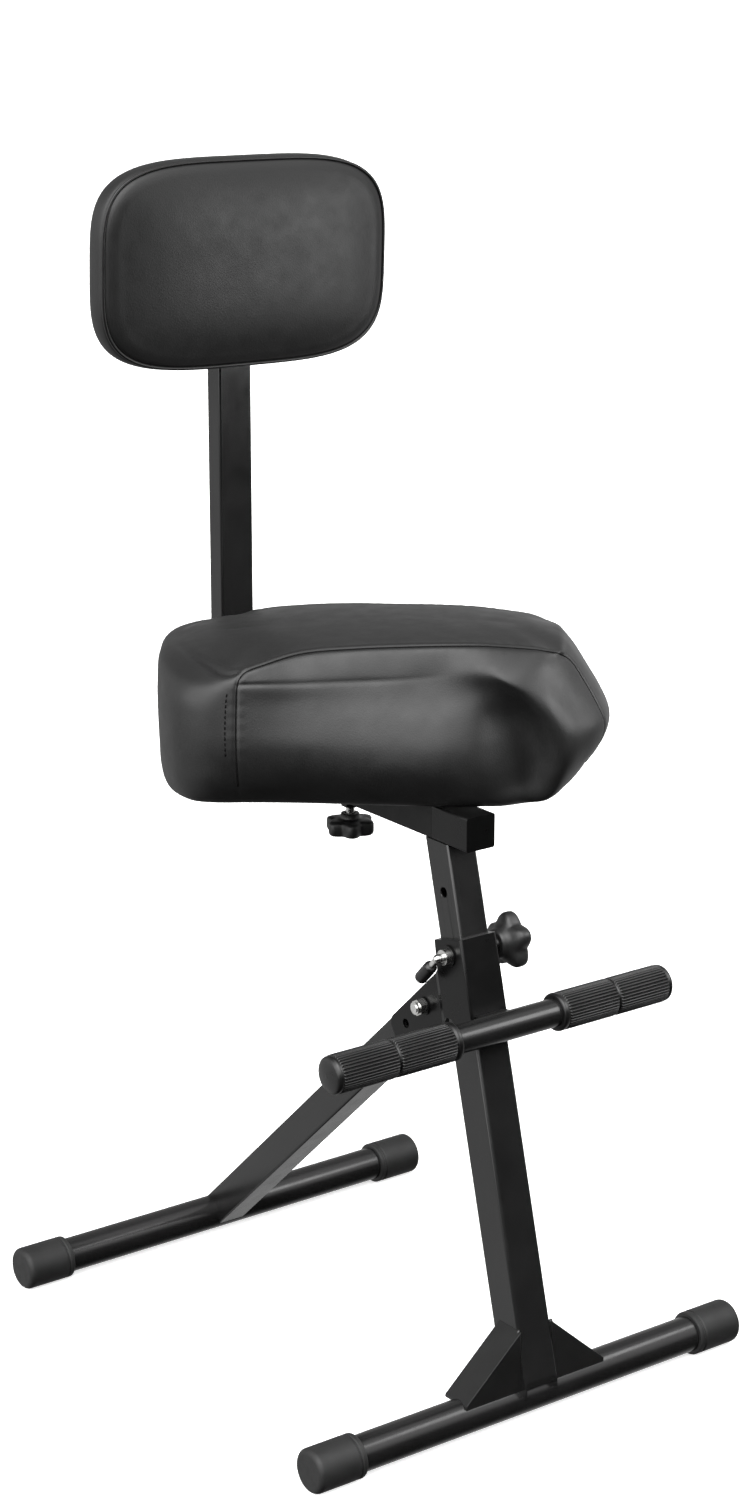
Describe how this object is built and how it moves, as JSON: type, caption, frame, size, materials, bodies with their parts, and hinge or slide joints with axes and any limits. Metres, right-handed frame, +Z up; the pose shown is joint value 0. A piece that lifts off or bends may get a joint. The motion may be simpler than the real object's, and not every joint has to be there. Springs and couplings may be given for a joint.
{
  "type": "guitar stool",
  "caption": "Folding stool with a padded saddle on a swivel, a height-adjustable leaning post, a footrest with rubber grips and a small padded backrest on an adjustable arm.",
  "frame": {"origin": "on the floor, midway between the two base tubes, in the middle plane", "axes": "+Z up, the sitter faces -Y with the backrest square to the frame, +X is the sitter's left"},
  "size_m": [0.465, 0.5076, 1.04],
  "materials": {
    "tube": "satin black powder coat on round and square steel tube",
    "bracket": "satin black powder coat on folded sheet steel",
    "silver": "zinc-plated steel",
    "rubber": "black moulded rubber, matt",
    "plastic": "black moulded plastic",
    "leather": "black grained upholstery leather, semi-gloss",
    "board": "plywood stained black"
  },
  "bodies": {
    "front_frame": {"front_base_tube": "tube", "front_feet": "rubber", "outer_post": "tube", "post_guide": "plastic", "post_gussets": "bracket", "hinge_bracket": "bracket", "pivot_bolt": "silver", "pivot_washers": "silver", "pivot_nut": "silver", "footrest_bar": "tube", "footrest_saddle": "bracket", "footrest_grip_left": "rubber", "footrest_grip_right": "rubber", "height_nut": "bracket", "plunger_washer": "silver", "plunger_housing": "silver"},
    "rear_leg": {"rear_base_tube": "tube", "rear_feet": "rubber", "rear_leg_tube": "tube", "leg_bush": "silver", "leg_plug": "plastic"},
    "seat_support": {"inner_post": "tube", "post_shoe": "plastic", "post_head": "bracket", "seat_beam": "tube", "arm_guide": "plastic", "clamp_nut": "bracket", "swivel_base": "bracket", "swivel_kingpin": "silver"},
    "saddle": {"swivel_top": "bracket", "seat_board": "board", "seat_cushion": "leather", "seat_screws": "silver"},
    "backrest": {"backrest_arm": "tube", "arm_plug": "plastic", "backrest_upright": "tube", "upright_plugs": "plastic", "backrest_plate": "bracket", "backrest_board": "board", "backrest_cushion": "leather", "backrest_screws": "silver"},
    "height_knob": {"height_knob": "plastic", "height_stud": "silver"},
    "plunger": {"plunger_pin": "silver", "plunger_grip": "rubber"},
    "depth_knob": {"depth_knob": "plastic", "depth_stud": "silver"}
  },
  "joints": [
    {"name": "leg_fold", "type": "hinge", "parent": "front_frame", "child": "rear_leg", "pos_m": [0, -0.108, 0.3405], "axis": [-1, 0, 0], "range_deg": [0, 60]},
    {"name": "seat_height", "type": "slide", "parent": "front_frame", "child": "seat_support", "axis": [0, 0.2471, 0.969], "range_m": [-0.054, 0.054]},
    {"name": "saddle_swivel", "type": "hinge", "parent": "seat_support", "child": "saddle", "pos_m": [0, -0.021, 0.53], "axis": [0, 0, 1], "continuous": true},
    {"name": "backrest_depth", "type": "slide", "parent": "seat_support", "child": "backrest", "axis": [0, 1, 0], "range_m": [0, 0.06]},
    {"name": "height_knob_turn", "type": "hinge", "parent": "front_frame", "child": "height_knob", "pos_m": [0.04, -0.14448, 0.39748], "axis": [1, 0, 0], "continuous": true},
    {"name": "plunger_pull", "type": "slide", "parent": "front_frame", "child": "plunger", "axis": [-1, 0, 0], "range_m": [0, 0.008], "stiffness_N_per_m": 1500},
    {"name": "depth_knob_turn", "type": "hinge", "parent": "seat_support", "child": "depth_knob", "pos_m": [0, 0.023, 0.466], "axis": [0, 0, 1], "continuous": true}
  ]
}
